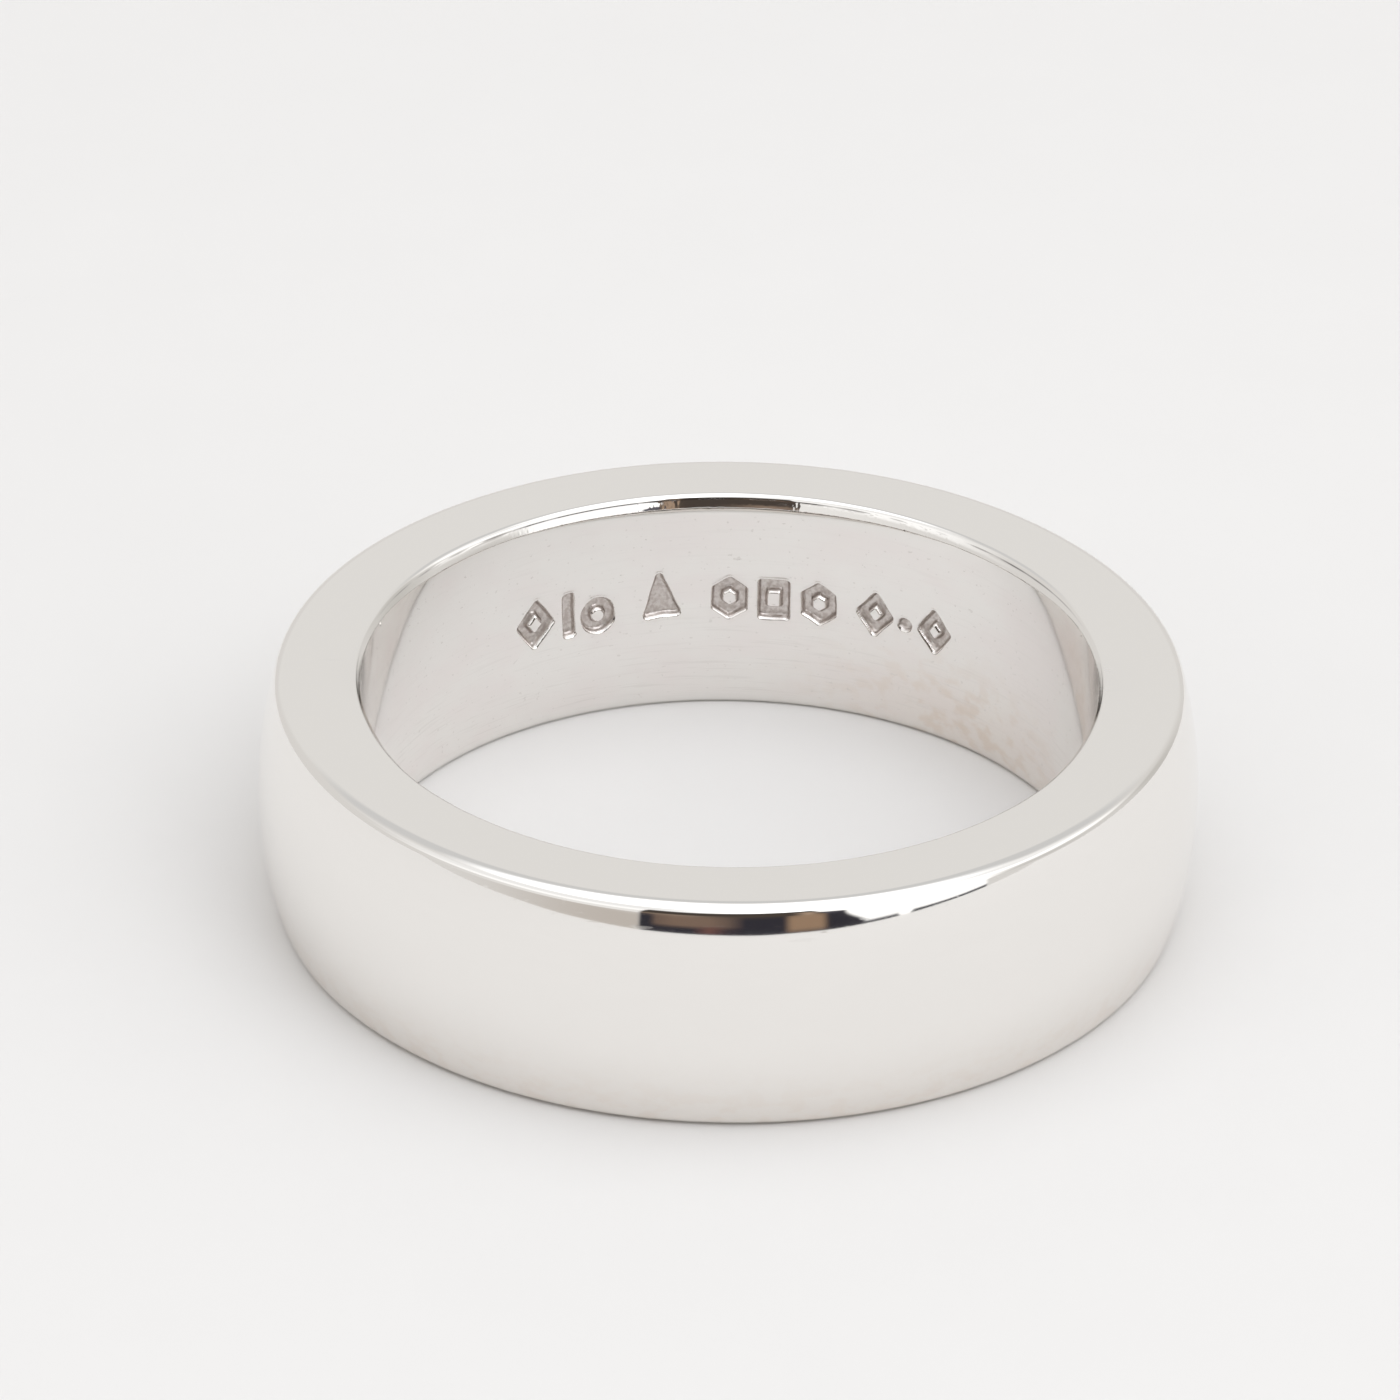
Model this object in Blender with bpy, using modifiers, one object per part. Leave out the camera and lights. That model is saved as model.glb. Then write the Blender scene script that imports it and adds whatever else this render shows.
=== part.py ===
"""A plain wedding band: one closed ring of solid white gold, turned and polished,
with a row of small punched marks in the wall of its finger hole.

Metres, +Z up. The band lies on one side face. The axis of the finger hole is the
world Z axis, the lower side face lies at z = 0, and the marks are on the +Y side.
"""

import math

import bmesh
import bpy
from mathutils import Matrix

MM = 0.001

# The band itself
BORE_DIAMETER = 16.4 * MM  # finger hole
WALL = 2.3 * MM  # thickness of the metal, from the finger hole to the crown
BAND_WIDTH = 5.5 * MM  # from one side face to the other
CROWN_RADIUS = 9.0 * MM  # the gentle arch of the outer face, from side to side
SHOULDER_ROUND = 0.25 * MM  # the rounded edge between the crown and a side face
EDGE_REACH = 0.25 * MM  # the eased edges of the finger hole, across the side face
EDGE_DROP = 0.43 * MM  # and down the wall of the hole, so that they pass a knuckle

# The punched marks
MARK_DEPTH = 0.16 * MM
MARK_DRAFT = 0.045 * MM  # how far a mark's walls lean in over its depth
MARK_LIFT = 0.05 * MM  # the row sits this far above the middle of the width
ISLAND = 0.36  # a mark's raised middle, as a share of the mark

# How finely the round shapes are cut
RING_STEPS = 120
CROWN_STEPS = 6  # from the middle of the crown to a shoulder
ROUND_STEPS = 4

# Each mark: outline sides, its turn in degrees, distance along the wall, width,
# height, and whether its middle stands proud
MARKS = (
    ("mark_lozenge_a", 4, 0, 4.72 * MM, 0.98 * MM, 1.20 * MM, True),
    ("mark_bar", 4, 45, 3.84 * MM, 0.34 * MM, 1.14 * MM, False),
    ("mark_disc", 20, 0, 3.11 * MM, 0.86 * MM, 0.94 * MM, True),
    ("mark_triangle", 3, 90, 1.59 * MM, 0.84 * MM, 1.10 * MM, False),
    ("mark_hexagon_a", 6, 30, -0.01 * MM, 0.82 * MM, 1.06 * MM, True),
    ("mark_square_a", 4, 45, -1.04 * MM, 0.74 * MM, 1.00 * MM, True),
    ("mark_hexagon_b", 6, 30, -2.10 * MM, 0.82 * MM, 1.06 * MM, True),
    ("mark_lozenge_b", 4, 0, -3.48 * MM, 0.84 * MM, 1.10 * MM, True),
    ("mark_dot", 12, 0, -4.24 * MM, 0.36 * MM, 0.34 * MM, False),
    ("mark_lozenge_c", 4, 0, -5.04 * MM, 0.84 * MM, 1.10 * MM, True),
)

bore_radius = BORE_DIAMETER / 2
crown_radius = bore_radius + WALL
half_width = BAND_WIDTH / 2
# No rounded edge may take more than its share of the wall or of the width.
shoulder = min(SHOULDER_ROUND, WALL * 0.3, half_width * 0.4)
edge_reach = min(EDGE_REACH, WALL * 0.3)
edge_drop = min(EDGE_DROP, half_width * 0.4)


def clear_scene():
    for thing in list(bpy.data.objects):
        bpy.data.objects.remove(thing, do_unlink=True)


def new_collection(name):
    group = bpy.data.collections.new(name)
    bpy.context.scene.collection.children.link(group)
    return group


def white_gold():
    gold = bpy.data.materials.new("white_gold")
    gold.use_nodes = True
    shader = gold.node_tree.nodes["Principled BSDF"]
    shader.inputs["Base Color"].default_value = (0.80, 0.78, 0.75, 1)
    shader.inputs["Metallic"].default_value = 1.0
    shader.inputs["Roughness"].default_value = 0.12
    gold.diffuse_color = (0.80, 0.78, 0.75, 1)
    return gold


def band_outline():
    """Half a section through the band, in (radius, height), round its whole edge.
    It runs out over the upper side face and down the crown."""
    points = []
    # The crown is an arc about crown_middle. Each shoulder round is tangent to it
    # and to its side face.
    crown_middle = crown_radius - CROWN_RADIUS
    round_height = half_width - shoulder
    round_reach = math.sqrt((CROWN_RADIUS - shoulder) ** 2 - round_height ** 2)
    turn_in = math.atan2(round_height, round_reach)
    quarter = []
    for i in range(CROWN_STEPS + 1):
        turn = turn_in * i / CROWN_STEPS
        radius = crown_middle + CROWN_RADIUS * math.cos(turn)
        quarter.append((radius, CROWN_RADIUS * math.sin(turn)))
    for i in range(1, ROUND_STEPS + 1):
        turn = turn_in + (math.pi / 2 - turn_in) * i / ROUND_STEPS
        radius = crown_middle + round_reach + shoulder * math.cos(turn)
        quarter.append((radius, round_height + shoulder * math.sin(turn)))
    for radius, height in reversed(quarter):
        points.append((radius, half_width + height))
    for radius, height in quarter[1:]:
        points.append((radius, half_width - height))
    # the lower edge of the finger hole
    for i in range(ROUND_STEPS + 1):
        turn = math.pi / 2 * i / ROUND_STEPS
        radius = bore_radius + edge_reach * (1 - math.sin(turn))
        points.append((radius, edge_drop * (1 - math.cos(turn))))
    # the upper edge of the finger hole
    for i in range(ROUND_STEPS + 1):
        turn = math.pi / 2 * i / ROUND_STEPS
        radius = bore_radius + edge_reach * (1 - math.cos(turn))
        points.append((radius, BAND_WIDTH - edge_drop * (1 - math.sin(turn))))
    return points


def turned_band(group):
    outline = band_outline()
    mesh = bpy.data.meshes.new("band")
    edges = [(i, (i + 1) % len(outline)) for i in range(len(outline))]
    mesh.from_pydata([(r, 0, z) for r, z in outline], edges, [])
    band = bpy.data.objects.new("band", mesh)
    group.objects.link(band)
    screw = band.modifiers.new("turned", "SCREW")
    screw.axis = "Z"
    screw.steps = RING_STEPS
    screw.render_steps = RING_STEPS
    screw.use_merge_vertices = True
    screw.merge_threshold = 0.00001
    screw.use_smooth_shade = True
    return band


def prism(name, sides, turn, width, height, near, far, lean, group):
    """A punch: a tapered prism that points along +X from near to far. Its outline
    is width by height where x = bore_radius, and lean smaller all round at far."""
    depth = far - near
    slope = lean / MARK_DEPTH
    shape = bmesh.new()
    bmesh.ops.create_cone(
        shape,
        cap_ends=True,
        segments=sides,
        radius1=0.5,
        radius2=0.5,
        depth=1,
        matrix=Matrix.Rotation(math.radians(turn), 4, "Z"),
    )
    wide = max(v.co.x for v in shape.verts) - min(v.co.x for v in shape.verts)
    tall = max(v.co.y for v in shape.verts) - min(v.co.y for v in shape.verts)
    for v in shape.verts:
        x = near + (v.co.z + 0.5) * depth
        inset = slope * (x - bore_radius)
        across = v.co.x / wide * (width - 2 * inset)
        up = v.co.y / tall * (height - 2 * inset)
        v.co = (x, across, up)
    mesh = bpy.data.meshes.new(name)
    shape.to_mesh(mesh)
    shape.free()
    tool = bpy.data.objects.new(name, mesh)
    tool.hide_render = True
    tool.display_type = "WIRE"
    group.objects.link(tool)
    return tool


def cut(target, tool):
    boolean = target.modifiers.new(tool.name, "BOOLEAN")
    boolean.operation = "DIFFERENCE"
    boolean.solver = "EXACT"
    boolean.object = tool


def place_on_wall(tool, along):
    """Turns a tool that points along +X to its place on the wall, measured along
    the wall from the middle of the +Y side, positive towards -X."""
    tool.rotation_euler = (0, 0, math.pi / 2 + along / bore_radius)
    tool.location = (0, 0, half_width + MARK_LIFT)


def punch_marks(band, cutters):
    clear = 0.4 * MM  # how far a punch reaches back into the open hole
    for name, sides, turn, along, width, height, proud in MARKS:
        tool = prism(
            name, sides, turn, width, height,
            bore_radius - clear, bore_radius + MARK_DEPTH, MARK_DRAFT, cutters,
        )
        place_on_wall(tool, along)
        if proud:
            middle = prism(
                name + "_island", sides, turn, width * ISLAND, height * ISLAND,
                bore_radius - 2 * clear, bore_radius + MARK_DEPTH + clear, 0, cutters,
            )
            place_on_wall(middle, along)
            cut(tool, middle)
        cut(band, tool)


clear_scene()
parts = new_collection("wedding_band")
cutters = new_collection("cutters")
band = turned_band(parts)
band.data.materials.append(white_gold())
punch_marks(band, cutters)
bpy.context.view_layer.update()
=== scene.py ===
import math

import bpy
import numpy as np
from mathutils import Matrix, Vector


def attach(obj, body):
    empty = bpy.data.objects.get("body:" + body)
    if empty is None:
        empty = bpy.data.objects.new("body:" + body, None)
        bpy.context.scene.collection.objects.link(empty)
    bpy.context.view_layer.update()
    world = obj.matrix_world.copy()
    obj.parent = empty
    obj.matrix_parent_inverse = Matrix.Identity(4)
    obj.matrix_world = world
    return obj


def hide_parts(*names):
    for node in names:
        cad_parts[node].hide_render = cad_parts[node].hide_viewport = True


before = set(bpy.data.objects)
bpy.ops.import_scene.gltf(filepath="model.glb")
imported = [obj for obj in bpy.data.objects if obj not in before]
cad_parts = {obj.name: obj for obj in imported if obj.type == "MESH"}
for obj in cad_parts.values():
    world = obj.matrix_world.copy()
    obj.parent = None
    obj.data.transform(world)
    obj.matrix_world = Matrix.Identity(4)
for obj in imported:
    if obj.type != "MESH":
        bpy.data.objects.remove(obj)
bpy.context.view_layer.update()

# The band. One closed ring of solid white gold, turned with a low arch outside and
# a straight finger hole, its edges eased by hand on a felt wheel, and all of it
# polished. The maker's row of marks is struck into the wall of the hole.
MM = 0.001  # the sizes of the band are in millimetres
bore_r = 8.2
crown_r = 10.5
width = 5.5
middle = width / 2
rim = 0.03  # how far each turned side runs on over the side faces

# its steps round the ring: fine behind the marks, coarser elsewhere
marks_from, marks_to = -5.75, 5.45  # along the wall from the middle of the back
fine_steps, rest_steps, fine_per_coarse = 400, 220, 4
start, stop = marks_from / bore_r + math.pi / 2, marks_to / bore_r + math.pi / 2
turn = np.concatenate([
    np.linspace(start, stop, fine_steps + 1)[:-1],
    np.linspace(stop, start + 2 * math.pi, rest_steps + 1)[:-1],
])
coarse = np.concatenate([np.arange(0, fine_steps, fine_per_coarse), np.arange(fine_steps, len(turn))])


def round_from(where, front):
    """Degrees round the ring from a place, -180 to 180. With front 0 the front is 0
    and the right is 90; with front 180 the middle of the back is 0."""
    return (np.degrees(where) + 90 - front + 180) % 360 - 180


# The outer side: an arch nine millimetres in radius that rolls into the side faces
# over a tight round and then a softer one, both a little fuller at the front.
arch_r = 9.0
tight, soft, roll = 0.21, 0.40, math.radians(60)
out_turn = turn[coarse][:, None]
az = round_from(out_turn, 0)
full = 1 + 0.16 * np.exp(-((az / 45) ** 2))
full = full + 0.05 * np.sin(3 * out_turn + 1.1) + 0.03 * np.sin(8 * out_turn + 2)
r1, r2 = tight * full, soft * full
sin_lean = (middle - r1 * math.sin(roll) - r2 * (1 - math.sin(roll))) / (arch_r - r1)
lean = np.arcsin(sin_lean)
arch_out = crown_r - arch_r + arch_r * np.cos(lean)
arch_up = arch_r * sin_lean
steps = np.linspace(0, 1, 13)[None, :]
n = lean * steps
part_a = (crown_r - arch_r + arch_r * np.cos(n), arch_r * np.sin(n))
steps = np.linspace(0, 1, 11)[None, 1:]
n = lean + (roll - lean) * steps
part_b = (arch_out - r1 * (np.cos(lean) - np.cos(n)), arch_up + r1 * (np.sin(n) - sin_lean))
steps = np.linspace(0, 1, 9)[None, 1:]
n = roll + (math.pi / 2 - roll) * steps
part_c = (part_b[0][:, -1:] - r2 * (math.cos(roll) - np.cos(n)),
          part_b[1][:, -1:] + r2 * (np.sin(n) - math.sin(roll)))
quarter_r = np.concatenate([part_a[0], part_b[0], part_c[0]], 1)
quarter_z = np.concatenate([part_a[1], part_b[1], part_c[1]], 1)
lip = quarter_r[:, -1:] - rim
at_side = 0 * lip + middle
outer_r = np.concatenate([lip, quarter_r[:, ::-1], quarter_r[:, 1:], lip], 1)
outer_z = middle + np.concatenate([-at_side, -quarter_z[:, ::-1], quarter_z[:, 1:], at_side], 1)
# the faint unevenness that hand polishing leaves, and the little it takes off
polish_wave, polish_cut = 0.0006, 0.0008
ripple = np.sin(17 * out_turn + 0.4) + np.sin(29 * out_turn + 1.9) + 0.7 * np.sin(43 * out_turn + 3)
fade = np.clip(1 - np.abs(outer_z - middle) / middle, 0, 1) ** 0.5
outer_r = outer_r - polish_cut + polish_wave * ripple * fade

# The hole side: a small round at the side face, a steep eased flat and a soft run-out
# into the wall. A fine broken crease runs where the flat starts, and the flat is
# nicked here and there.
in_turn = turn[:, None]
side = np.abs(round_from(in_turn, 180)) / 45  # 0 at the back, 2 at the two ends, 4 in front
dashes = 0.5 * np.sin(4 * in_turn + 0.6) + 0.3 * np.sin(9 * in_turn + 2.2) + 0.3 * np.sin(47 * in_turn + 1)
ridge = np.clip(0.62 + dashes, 0, 1)
# the lean of the edge in degrees, and how far along it from the side face
path = [
    (90, 0.0), (74, 0.036), (58, 0.072), (44, 0.104), (34, 0.130), (28, 0.150), (27, 0.159),
    (26.6, 0.168), (26.2, 0.176), (25.8, 0.185), (25.4, 0.195), (24.5, 0.225), (23, 0.260),
    (21, 0.295), (18.5, 0.330), (15.5, 0.365), (12, 0.400), (8.4, 0.430), (5, 0.460),
    (2.2, 0.495), (0.2, 0.535),
]
lengths = np.array([s for _, s in path])
leans = np.radians([d for d, _ in path])[None, :]
at_ends = np.clip((side - 1.2) / 0.45, 0, 1) * np.clip((2.8 - side) / 0.45, 0, 1)
crease_at, crease_reach, crease_lean = 0.172, 0.014, 20
crease = ridge * (1 - at_ends) * np.exp(-((lengths - crease_at) / crease_reach) ** 2)[None, :]
leans = leans - np.radians(crease_lean) * crease
# away from the back the flat is steeper and turns into the wall more sharply, and
# the whole edge is narrower at the two ends, where the wheel hardly reached
steeper = 9
on_flat = np.clip((lengths - 0.12) / 0.05, 0, 1) * np.clip((0.43 - lengths) / 0.05, 0, 1)
leans = leans + np.radians(steeper) * np.clip(side, 0, 1.45) ** 2 * on_flat[None, :]
mid_lean = (leans[:, 1:] + leans[:, :-1]) / 2
run_out = (lengths[1:] > 0.35)[None, :]
past_round = (lengths[1:] > 0.09)[None, :]
step = np.diff(lengths)[None, :] * (1 - 0.78 * np.clip((side - 0.25) / 0.6, 0, 1) * run_out)
step = step * (1 - 0.45 * at_ends * past_round)
fall_r = np.concatenate([0 * in_turn, np.cumsum(np.sin(mid_lean) * step, 1)], 1)
fall_z = np.concatenate([0 * in_turn, np.cumsum(np.cos(mid_lean) * step, 1)], 1)
eased_r = bore_r + fall_r[:, -1:] - fall_r
eased_z = width - fall_z
# tiny nicks along the flat
no_nick, nick_depth = 0.88, 0.0020
nicked = slice(8, 17)
chance = np.random.default_rng(7)
nicks = (chance.random(eased_r.shape) > no_nick) * chance.normal(0, nick_depth, eased_r.shape)
eased_r[:, nicked] += nicks[:, nicked]

# the wall below it, closely stepped behind the marks, and the round at its foot
rows_from, rows_to = 1.98, 3.66
foot_reach, foot_tall = 0.19, 0.43
wall_z = np.concatenate([
    np.linspace(eased_z.min(), rows_to, 8)[1:-1],
    np.linspace(rows_to, rows_from, 61),
    np.linspace(rows_from, foot_tall, 9)[1:],
])
foot = np.radians(np.linspace(0, 90, 9))[1:]
foot_r, foot_z = bore_r + foot_reach * (1 - np.cos(foot)), foot_tall * (1 - np.sin(foot))
plain = np.ones_like(in_turn)
inner_r = np.concatenate([
    eased_r[:, :1] + rim,
    eased_r,
    plain * bore_r * np.ones(len(wall_z)),
    plain * foot_r,
    plain * (foot_r[-1] + rim),
], 1)
inner_z = np.concatenate([plain * width, eased_z, plain * wall_z, plain * foot_z, plain * 0], 1)
first_wall = 1 + eased_r.shape[1]

# The marks: generic punches, each an outline with rounded corners, some with an
# island that the punch left standing. Each row holds its corners, turn, distance
# along the wall, height up it, width, height, slant, island's share and depth.
punches = [
    (4, 0, 4.72, 2.80, 1.02, 1.24, 3, 0.34, 0.17),
    (4, 45, 3.84, 2.80, 0.33, 1.16, -2, 0, 0.16),
    (24, 0, 3.11, 2.66, 0.86, 0.94, 0, 0.36, 0.15),
    (3, 90, 1.59, 2.81, 0.88, 1.14, -4, 0, 0.15),
    (6, 30, -0.01, 2.84, 0.84, 1.08, 3, 0.36, 0.16),
    (4, 45, -1.04, 2.84, 0.76, 1.04, 0, 0.38, 0.16),
    (6, 30, -2.10, 2.84, 0.84, 1.08, -3, 0.36, 0.17),
    (4, 0, -3.48, 2.85, 0.92, 1.12, 2, 0.32, 0.17),
    (12, 0, -4.24, 2.77, 0.38, 0.34, 0, 0, 0.12),
    (4, 0, -5.04, 2.83, 0.92, 1.12, -3, 0.32, 0.17),
]
corner = 0.10  # the radius of each punch's corners
draft = 0.085  # how far a mark's wall runs from its rim to its floor
rim_out = 0.015  # and how far outside the punch's outline it starts
island_corner = 0.03  # the radius of an island's corners
burr_tall, burr_at, burr_wide = 0.012, 0.03, 0.03  # the metal each blow raised round the rim
uneven = 0.010  # how far a rim wanders
punch_reach = 0.9  # nothing further than this from a mark's middle is moved


def edge_distance(x, y, corners):
    """How far each point lies outside a closed outline, negative inside."""
    best = np.full(x.shape, 1e9)
    inside = np.ones(x.shape, bool)
    for (ax, ay), (bx, by) in zip(corners, corners[1:] + corners[:1]):
        ex, ey = bx - ax, by - ay
        t = np.clip(((x - ax) * ex + (y - ay) * ey) / (ex * ex + ey * ey), 0, 1)
        best = np.minimum(best, np.hypot(x - ax - t * ex, y - ay - t * ey))
        inside &= (ex * (y - ay) - ey * (x - ax)) > 0
    return np.where(inside, -best, best)


from_back = ((in_turn - math.pi / 2 + math.pi) % (2 * math.pi)) - math.pi
along = from_back * bore_r * np.ones_like(inner_z)
on_wall = np.zeros_like(inner_z, bool)
on_wall[:, first_wall:first_wall + len(wall_z)] = True
sunk = np.zeros_like(inner_z)
struck = np.zeros_like(inner_z)
for sides, first, at, up, wide, tall, slant, island, depth in punches:
    near = on_wall & (np.abs(along - at) < punch_reach) & (np.abs(inner_z - up) < punch_reach)
    a = math.radians(slant)
    x = (along[near] - at) * math.cos(a) + (inner_z[near] - up) * math.sin(a)
    y = (inner_z[near] - up) * math.cos(a) - (along[near] - at) * math.sin(a)
    spokes = [math.radians(first + 360 * i / sides) for i in range(sides)]
    w = max(math.cos(t) for t in spokes) - min(math.cos(t) for t in spokes)
    h = max(math.sin(t) for t in spokes) - min(math.sin(t) for t in spokes)
    outline = [(math.cos(t) / w * (wide - 2 * corner), math.sin(t) / h * (tall - 2 * corner)) for t in spokes]
    far = edge_distance(x, y, outline) - corner
    if island:
        left = [(px * island, py * island) for px, py in outline]
        far = np.maximum(far, island_corner - edge_distance(x, y, left))
    far = far + uneven * np.sin(9 * x + 3 * at) * np.sin(8 * y + at)  # no blow is quite even
    wall = np.clip((rim_out - far) / draft, 0, 1)
    burr = burr_tall * np.exp(-(((far - burr_at) / burr_wide) ** 2))
    sunk[near] += depth * wall * wall * (3 - 2 * wall) - burr
    struck[near] = np.maximum(struck[near], wall)
inner_r = inner_r + sunk


# the rings of points, hole side first, and the faces between them
def points_of(where, r, z):
    return np.stack([r * np.cos(where), r * np.sin(where), z], -1).reshape(-1, 3) * MM


def grid_faces(around, rows, offset):
    i = np.arange(around)[:, None]
    j = np.arange(rows - 1)[None, :]
    i2 = (i + 1) % around
    quads = np.stack([i * rows + j, i2 * rows + j, i2 * rows + j + 1, i * rows + j + 1], -1)
    return (quads.reshape(-1, 4) + offset).tolist()


n_fine, n_hole = inner_r.shape
n_coarse, n_out = outer_r.shape
verts = np.concatenate([points_of(in_turn, inner_r, inner_z), points_of(out_turn, outer_r, outer_z)])
base = n_fine * n_hole
faces = grid_faces(n_fine, n_hole, 0) + grid_faces(n_coarse, n_out, base)
for k in range(n_coarse):
    k2 = (k + 1) % n_coarse
    near_side = [int(v) % n_fine for v in range(coarse[k], (coarse[k2] if k2 else n_fine) + 1)]
    top_hole = [v * n_hole for v in near_side]
    low_hole = [v * n_hole + n_hole - 1 for v in near_side]
    top_out = [base + k * n_out + n_out - 1, base + k2 * n_out + n_out - 1]
    low_out = [base + k * n_out, base + k2 * n_out]
    faces.append(top_out + top_hole[::-1])
    faces.append(low_out[::-1] + low_hole)
mesh = bpy.data.meshes.new("band_polished")
mesh.from_pydata(verts.tolist(), [], faces)
mesh.validate()
mesh.shade_smooth()
band = bpy.data.objects.new("band_polished", mesh)
bpy.context.scene.collection.objects.link(band)


def paint(name, hole_values, outer_values=None):
    """A number at each point of the band, for the metal to read."""
    layer = mesh.attributes.new(name, "FLOAT", "POINT")
    rest = np.zeros_like(outer_z) if outer_values is None else outer_values
    layer.data.foreach_set("value", np.concatenate([hole_values.ravel(), rest.ravel()]))


# where the crease lies, so the metal can paint shade along it
creased = np.zeros_like(inner_z)
creased[:, 1:first_wall] = crease
angle_back = round_from(in_turn, 180) * np.ones_like(inner_z)
above_foot = np.clip((inner_z - 0.1) / 0.3, 0, 1)
paint("struck", struck)
paint("crease", creased)
paint("hole", np.clip((5.12 - inner_z) / 0.15, 0, 1) * above_foot)
# browner and a little rougher low on the right of the hole, and towards the foot of
# the outer wall
paint("browned_low", np.exp(-((angle_back + 42) / 24) ** 2) * np.exp(-((inner_z - 0.7) / 1.3) ** 2),
      0.45 * np.exp(-((outer_z / 1.0) ** 2)))
# the two ends of the hole, where the wheel left the wall a little duller
paint("ends", np.clip(1 - np.abs(np.abs(angle_back) - 91) / 9, 0, 1) ** 0.5)
# the lower half of the hole, which wear has rubbed
paint("rubbed", np.clip((2.7 - inner_z) / 1.4, 0, 1) * above_foot)

gold = bpy.data.materials.new("white_gold_polished")
gold.use_nodes = True
nodes, links = gold.node_tree.nodes, gold.node_tree.links
shader = nodes["Principled BSDF"]
shader.inputs["Metallic"].default_value = 1.0


def node(kind, **settings):
    made = nodes.new(kind)
    for key, value in settings.items():
        setattr(made, key, value)
    return made


def feed(value, socket):
    if isinstance(value, bpy.types.NodeSocket):
        links.new(value, socket)
    else:
        socket.default_value = value


def maths(operation, a, b=0.0, c=0.0):
    made = node("ShaderNodeMath", operation=operation)
    for value, socket in zip((a, b, c), made.inputs):
        feed(value, socket)
    return made.outputs[0]


def painted(name):
    return node("ShaderNodeAttribute", attribute_name=name).outputs["Fac"]


def grain(per_mm, detail, turned=(0, 0, 0)):
    """Noise with so many spots a millimetre along each axis, about 0.5 on average."""
    mapping = node("ShaderNodeMapping")
    links.new(place_on, mapping.inputs["Vector"])
    mapping.inputs["Rotation"].default_value = turned
    mapping.inputs["Scale"].default_value = tuple(1000 * s for s in per_mm)
    noise = node("ShaderNodeTexNoise")
    links.new(mapping.outputs[0], noise.inputs["Vector"])
    noise.inputs["Scale"].default_value = 1.0
    noise.inputs["Detail"].default_value = detail
    noise.inputs["Roughness"].default_value = 0.5
    return noise.outputs["Fac"]


def between(value, low, high):
    """0 below low and 1 above high, with a smooth rise."""
    made = node("ShaderNodeMapRange", interpolation_type="SMOOTHSTEP")
    feed(value, made.inputs["Value"])
    made.inputs["From Min"].default_value = low
    made.inputs["From Max"].default_value = high
    return made.outputs[0]


def over(under, colour, share):
    """A colour laid over another by a share."""
    made = node("ShaderNodeMix", data_type="RGBA")
    feed(under, made.inputs["A"])
    made.inputs["B"].default_value = colour
    feed(share, made.inputs["Factor"])
    return made.outputs["Result"]


place_on = node("ShaderNodeTexCoord").outputs["Object"]
struck_in, in_hole, browned_share, rubbed = painted("struck"), painted("hole"), painted("browned_low"), painted("rubbed")
turned_lines = grain((0.8, 0.8, 17), 3)
peel = grain((0.8, 0.8, 0.8), 1)
clouds = grain((0.5, 0.5, 0.9), 3)
pits = between(grain((8, 8, 12), 1), 0.70, 0.76)
hair = between(grain((0.5, 9, 9), 1, (0.3, 0.4, 0.7)), 0.67, 0.70)
struck_grain = grain((10, 10, 10), 3)
blotch = between(grain((2.2, 2.2, 3.4), 4), 0.44, 0.64)

# its colour: bright plated metal, browned in patches, worn along the polishing lines,
# dull and taupe in the marks, and the crease of the hole's edge painted near black as painted shade
plated, plated_warm = (0.89, 0.871, 0.845, 1), (0.880, 0.843, 0.822, 1)
browned, worn, taupe = (0.80, 0.71, 0.635, 1), (0.72, 0.69, 0.66, 1), (0.53, 0.475, 0.445, 1)
# near black, for the painted shade along the crease
crease_shade = (0.10, 0.09, 0.095, 1)
speck = maths("MULTIPLY", pits, maths("MULTIPLY", in_hole, 0.6))
streak = maths("MULTIPLY", between(turned_lines, 0.52, 0.74), maths("MULTIPLY_ADD", rubbed, 0.26, 0.12))
in_mark = between(struck_in, 0.12, 0.55)
mottle = maths("MULTIPLY_ADD", between(struck_grain, 0.34, 0.66), 0.5, 0.5)
metal = over(plated, plated_warm, maths("MULTIPLY", between(clouds, 0.35, 0.65), in_hole))
# browner in blotches low on the right of the hole and towards the foot of the outer wall
metal = over(metal, browned, maths("MULTIPLY", browned_share, maths("MULTIPLY_ADD", blotch, 0.6, 0.35)))
metal = over(metal, worn, maths("MAXIMUM", speck, maths("MULTIPLY", streak, in_hole)))
metal = over(metal, taupe, maths("MULTIPLY", in_mark, mottle))
# painted shade: the crease at the hole's edge painted near black
metal = over(metal, crease_shade, painted("crease"))
links.new(metal, shader.inputs["Base Color"])

# its gloss: mirror outside, a shade softer in the hole and rough in the marks
rough = maths("MULTIPLY_ADD", in_hole, 0.035, 0.04)
rough = maths("MULTIPLY_ADD", hair, 0.06, rough)
rough = maths("MULTIPLY_ADD", in_mark, 0.26, rough)
rough = maths("MULTIPLY_ADD", browned_share, 0.08, rough)
rough = maths("MULTIPLY_ADD", painted("ends"), 0.22, rough)
links.new(rough, shader.inputs["Roughness"])

# its relief in microns: orange peel, polishing lines, pits and the marks' rough floors
relief = node("ShaderNodeBump")
relief.inputs["Strength"].default_value = 1.0
relief.inputs["Distance"].default_value = 0.001 * MM
height = maths("MULTIPLY", peel, 0.45)
height = maths("MULTIPLY_ADD", maths("MULTIPLY", turned_lines, in_hole), 0.30, height)
height = maths("MULTIPLY_ADD", maths("MULTIPLY", pits, in_hole), -1.2, height)
height = maths("MULTIPLY_ADD", maths("MULTIPLY", struck_grain, in_mark), 18.0, height)
links.new(height, relief.inputs["Height"])
links.new(relief.outputs[0], shader.inputs["Normal"])
mesh.materials.append(gold)
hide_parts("band")
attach(band, "root")

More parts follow.
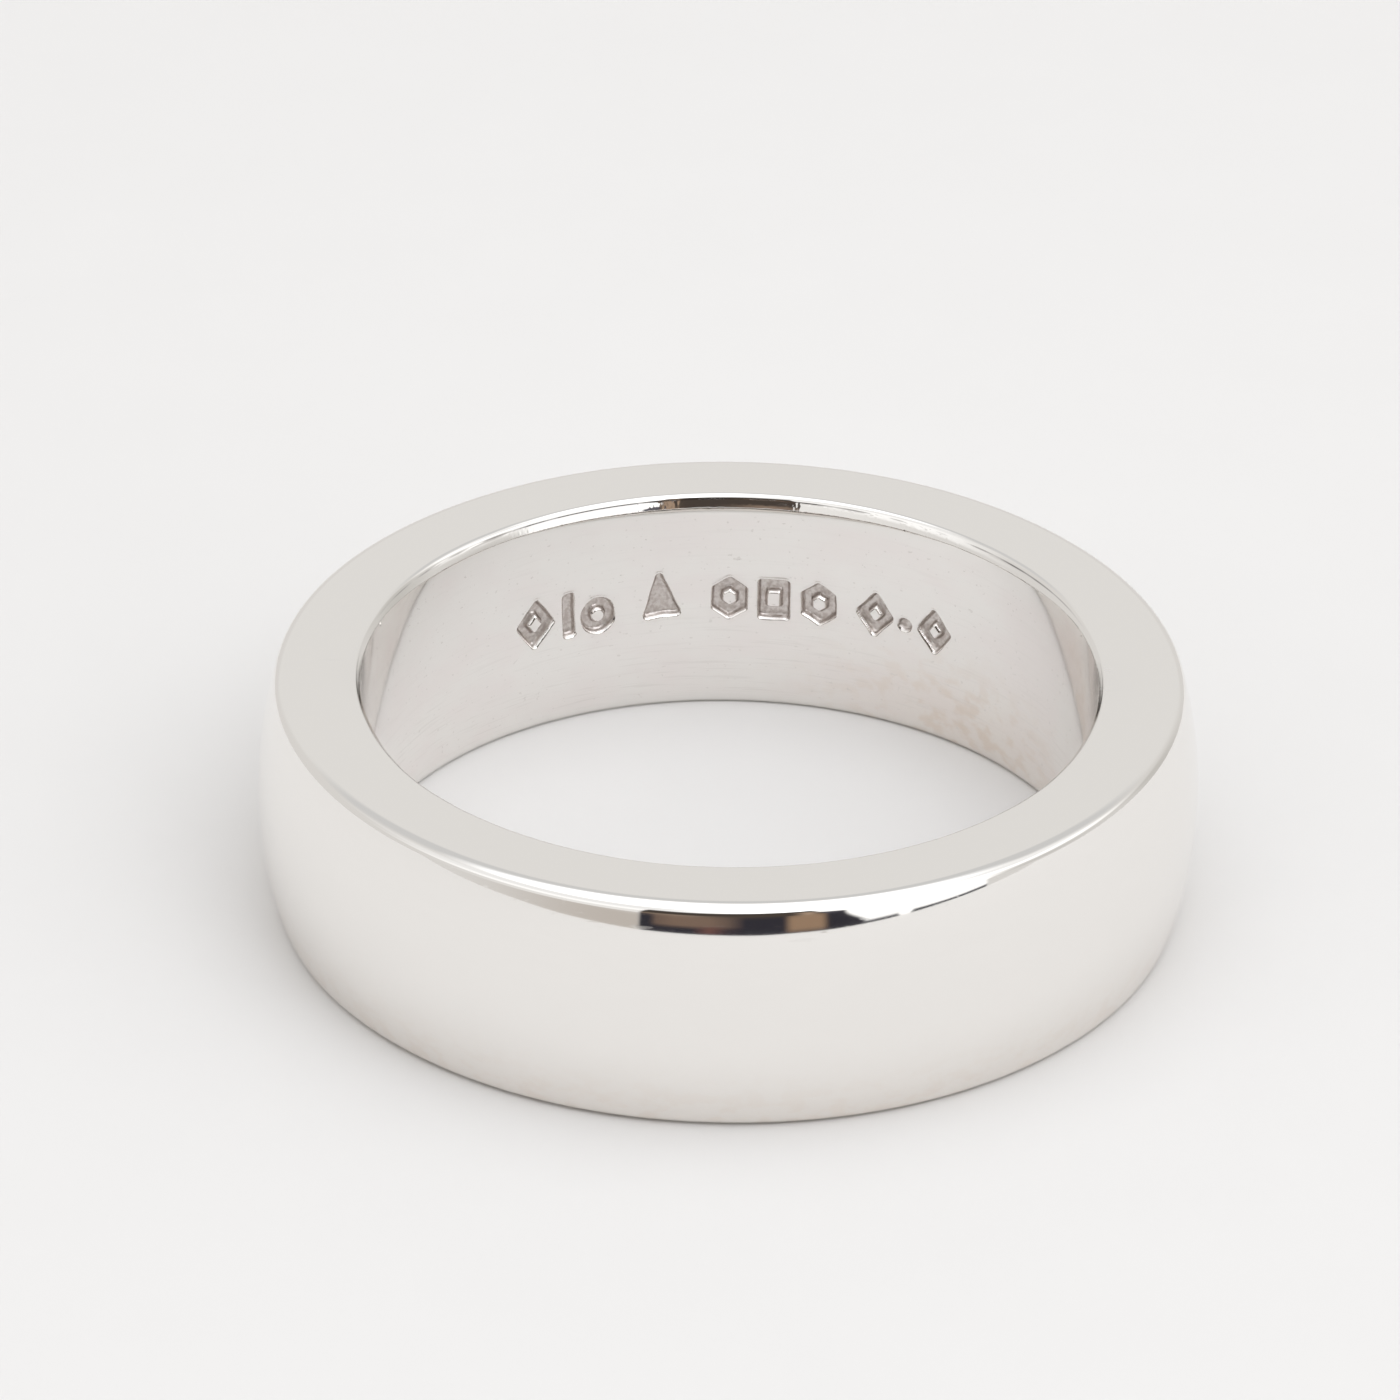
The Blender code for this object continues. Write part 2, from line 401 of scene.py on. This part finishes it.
# The sheet the band lies on: smooth white card that ends a hand's breadth in front,
# and beyond it the white table, which the metal doesn't mirror. From here on the
# sizes are in metres.
sheet_r, table_r = 0.086, 0.4
card = bpy.data.materials.new("white_card")
card.use_nodes = True
card_nodes, card_links = card.node_tree.nodes, card.node_tree.links
card_shader = card_nodes["Principled BSDF"]
card_shader.inputs["Roughness"].default_value = 1.0
card_shader.inputs["Specular IOR Level"].default_value = 0.0
card_place = card_nodes.new("ShaderNodeTexCoord")
card_noise = card_nodes.new("ShaderNodeTexNoise")
card_noise.inputs["Scale"].default_value = 260.0
card_noise.inputs["Detail"].default_value = 5.0
card_links.new(card_place.outputs["Object"], card_noise.inputs["Vector"])
card_tone = card_nodes.new("ShaderNodeMix")
card_tone.data_type = "RGBA"
card_tone.inputs["A"].default_value = (0.797, 0.785, 0.774, 1)
card_tone.inputs["B"].default_value = (0.813, 0.801, 0.790, 1)
card_links.new(card_noise.outputs["Fac"], card_tone.inputs["Factor"])
card_links.new(card_tone.outputs["Result"], card_shader.inputs["Base Color"])


def flat_ring(name, inner, outer, steps=96):
    """A flat ring of card, or a whole disc where inner is 0."""
    sheet_mesh = bpy.data.meshes.new(name)
    corners, sides = [], []
    for radius in (outer, inner) if inner else (outer,):
        for k in range(steps):
            t = 2 * math.pi * k / steps
            corners.append((radius * math.cos(t), radius * math.sin(t), 0))
    if inner:
        for k in range(steps):
            k2 = (k + 1) % steps
            sides.append((k, k2, steps + k2, steps + k))
    else:
        sides.append(tuple(range(steps)))
    sheet_mesh.from_pydata(corners, [], sides)
    sheet_mesh.materials.append(card)
    ring = bpy.data.objects.new(name, sheet_mesh)
    bpy.context.scene.collection.objects.link(ring)
    return ring


sheet = flat_ring("sheet", 0, sheet_r)
table = flat_ring("table", sheet_r, table_r)
table.visible_glossy = False

# The studio: a white tent lit through its roof, with a lamp high at the front right
# and a bright wall below it. Left of that wall stands a dark shape, and under it a
# low slit shows the dim room over the sheet's edge.
world = bpy.data.worlds.new("tent")
bpy.context.scene.world = world
world.use_nodes = True
back_light = world.node_tree.nodes["Background"]
back_light.inputs["Color"].default_value = (0.87, 0.86, 0.845, 1)
back_light.inputs["Strength"].default_value = 1.0
tent_r = 0.4

# its points, by degrees round from the front (A, right is 90) and degrees up (E)
azimuths = np.unique(np.concatenate([np.arange(-180, 181, 4.0), np.arange(-24, -16, 0.5),
                                     np.arange(10, 46, 0.5), np.arange(60, 65, 0.5)]))
heights = np.unique(np.concatenate([np.arange(-20, -6, 4.0), np.arange(-6, 24, 0.5),
                                    np.arange(-4, -2.4, 0.1), np.arange(24, 91, 4.0), [90.0]]))
A, E = np.meshgrid(azimuths, heights, indexing="ij")


def rise(value, low, high):
    """0 below low and 1 above high, with a smooth rise."""
    t = np.clip((value - low) / (high - low), 0, 1)
    return t * t * (3 - 2 * t)


def bump_at(value, centre, reach):
    return np.exp(-(((value - centre) / reach) ** 2))


def lay_all(under, patches):
    """Lays each patch, a share at each point and a colour, over those before it."""
    for share, colour in patches:
        under = under * (1 - share[..., None]) + share[..., None] * np.array(colour)
    return under


def all_over(colour):
    return np.ones(A.shape + (3,)) * np.array(colour)


slit_left = -20  # the left edge of the dark shape and of the slit under it
wall_edge = 32 - 5 * rise(E, -3.2, 3) - 6 * rise(E, 8, 20)  # where the bright wall starts
wall_end = 61.5
from_wall_edge = rise(A, wall_edge - 0.6, wall_edge + 0.6)
left_front = 1 - rise(A, -10, 0)
glow = lay_all(all_over((0.745, 0.73, 0.712)), [
    # the back, a little brighter above
    (rise(np.abs(A), 140, 155) * rise(E, 14, 22), (0.805, 0.795, 0.78)),
    # a grey panel on the right, a bright one over it, and a greyer one behind
    (0.75 * bump_at(A, 80, 16) * rise(E, 2, 8) * (1 - rise(E, 14, 26)), (0.60, 0.585, 0.565)),
    (rise(A, 62, 66) * (1 - rise(A, 100, 135)) * rise(E, 22, 30), (1.28, 1.28, 1.28)),
    (0.8 * bump_at(A, 124, 14) * (1 - rise(E, 24, 36)), (0.56, 0.545, 0.52)),
    # the light that spills left of the dark shape, low down and higher up
    (rise(A, -85, -25) * left_front * rise(E, 2, 5), (0.90, 0.89, 0.875)),
    (rise(A, -105, -60) * left_front * rise(E, 19, 26), (1.15, 1.15, 1.15)),
    # the bright wall
    (from_wall_edge * (1 - rise(A, wall_end, wall_end + 1 + np.clip(E, 0, 60) * 0.6)), (1.25, 1.25, 1.25)),
    # the dim strip along the table, left of the slit
    ((1 - rise(E, 2.0, 4.5)) * rise(A, -70, -24) * (1 - rise(A, slit_left - 0.3, slit_left + 0.3)),
     (0.56, 0.515, 0.475)),
    # the roof: dim at the back, brighter at the left and the right, the lamp over the
    # front right, and bright overhead
    (rise(E, 37, 44) * rise(np.abs(A), 110, 140), (0.66, 0.66, 0.66)),
    (rise(E, 34, 42) * (1 - rise(np.abs(A + 45), 30, 90)), (0.95, 0.95, 0.95)),
    (rise(E, 38, 46) * (1 - rise(np.abs(A - 80), 20, 60)), (1.00, 1.00, 1.00)),
    (rise(E, 34, 42) * (1 - rise(np.abs(A - 34), 0, 56)), (2.80, 2.86, 2.94)),
    (rise(E, 56, 68), (1.55, 1.57, 1.60)),
])

# the dark shape, brown with two tan parts and navy at its right
figure = lay_all(all_over((0.07, 0.056, 0.047)), [
    (bump_at(A, -12, 9) * (1 - rise(E, 9, 17)), (0.27, 0.20, 0.155)),
    (bump_at(A, 18.5, 2.2) * (1 - rise(E, 22, 30)), (0.40, 0.29, 0.21)),
    (rise(A, 21, 23), (0.12, 0.115, 0.135)),
])
# the slit: the dark room, with three warm things in it
room = lay_all(all_over((0.035, 0.033, 0.042)), [
    (rise(A, -18, -15) * (1 - rise(A, -2, 3)) * rise(E, -1.6, -0.4), (0.21, 0.145, 0.11)),
    (bump_at(A, -3, 2) * bump_at(E, -1.8, 1.2), (0.20, 0.09, 0.075)),
    (rise(A, 12.5, 15) * (1 - rise(A, 21, 23.5)) * rise(E, -3.4, -1.5), (0.33, 0.22, 0.145)),
])
above_slit = rise(E, 2, 5)[..., None]
dark_share = rise(A, slit_left - 0.3, slit_left + 0.4) * (1 - from_wall_edge) * (1 - rise(E, 34, 42))
dark_share = dark_share[..., None]
glow = glow * (1 - dark_share) + (figure * above_slit + room * (1 - above_slit)) * dark_share
# the line of shadow between the sheet's edge and the bright wall, broken once
line_top = -2.3 - 2 * bump_at(A, 41, 1.2)
in_line = rise(A, 30, 31) * (1 - rise(A, 61.5, 62.3)) * (1 - rise(E, line_top - 0.15, line_top + 0.15))
glow = lay_all(glow, [(in_line, (0.05, 0.05, 0.06))])

tent_mesh = bpy.data.meshes.new("tent")
tent_x = np.cos(np.radians(E)) * np.sin(np.radians(A))
tent_y = -np.cos(np.radians(E)) * np.cos(np.radians(A))
tent_points = np.stack([tent_x, tent_y, np.sin(np.radians(E))], -1).reshape(-1, 3) * tent_r
tent_mesh.from_pydata(tent_points.tolist(), [], [
    (q, q + 1, q + len(heights) + 1, q + len(heights))
    for i in range(len(azimuths) - 1)
    for q in range(i * len(heights), (i + 1) * len(heights) - 1)
])
colours = tent_mesh.attributes.new("glow", "FLOAT_VECTOR", "POINT")
colours.data.foreach_set("vector", glow.reshape(-1))
lit = bpy.data.materials.new("tent_light")
lit.use_nodes = True
lit_nodes = lit.node_tree.nodes
lit_nodes.clear()
read = lit_nodes.new("ShaderNodeAttribute")
read.attribute_name = "glow"
emit = lit_nodes.new("ShaderNodeEmission")
out = lit_nodes.new("ShaderNodeOutputMaterial")
lit.node_tree.links.new(read.outputs["Vector"], emit.inputs["Color"])
lit.node_tree.links.new(emit.outputs[0], out.inputs[0])
tent_mesh.materials.append(lit)
tent = bpy.data.objects.new("tent", tent_mesh)
bpy.context.scene.collection.objects.link(tent)
tent.visible_camera = False

# The camera: a long lens from the front, looking down at thirty degrees and rolled by
# a little over half a degree.
lens = bpy.data.cameras.new("camera")
camera = bpy.data.objects.new("camera", lens)
bpy.context.scene.collection.objects.link(camera)
lens.sensor_width = 36
lens.lens = 210.86
lens.clip_start = 0.01
down = math.radians(29.771)
roll_over = math.radians(-0.648)
forward = Vector((0, math.cos(down), -math.sin(down)))
level_up = Vector((0, math.sin(down), math.cos(down)))
level_right = Vector((1, 0, 0))
right = math.cos(roll_over) * level_right - math.sin(roll_over) * level_up
up = math.sin(roll_over) * level_right + math.cos(roll_over) * level_up
stand = Vector((-0.650, -158.297, 95.335)) * MM
camera.matrix_world = Matrix((
    (right.x, up.x, -forward.x, stand.x),
    (right.y, up.y, -forward.y, stand.y),
    (right.z, up.z, -forward.z, stand.z),
    (0, 0, 0, 1),
))
bpy.context.scene.camera = camera
bpy.context.scene.view_settings.view_transform = "Standard"
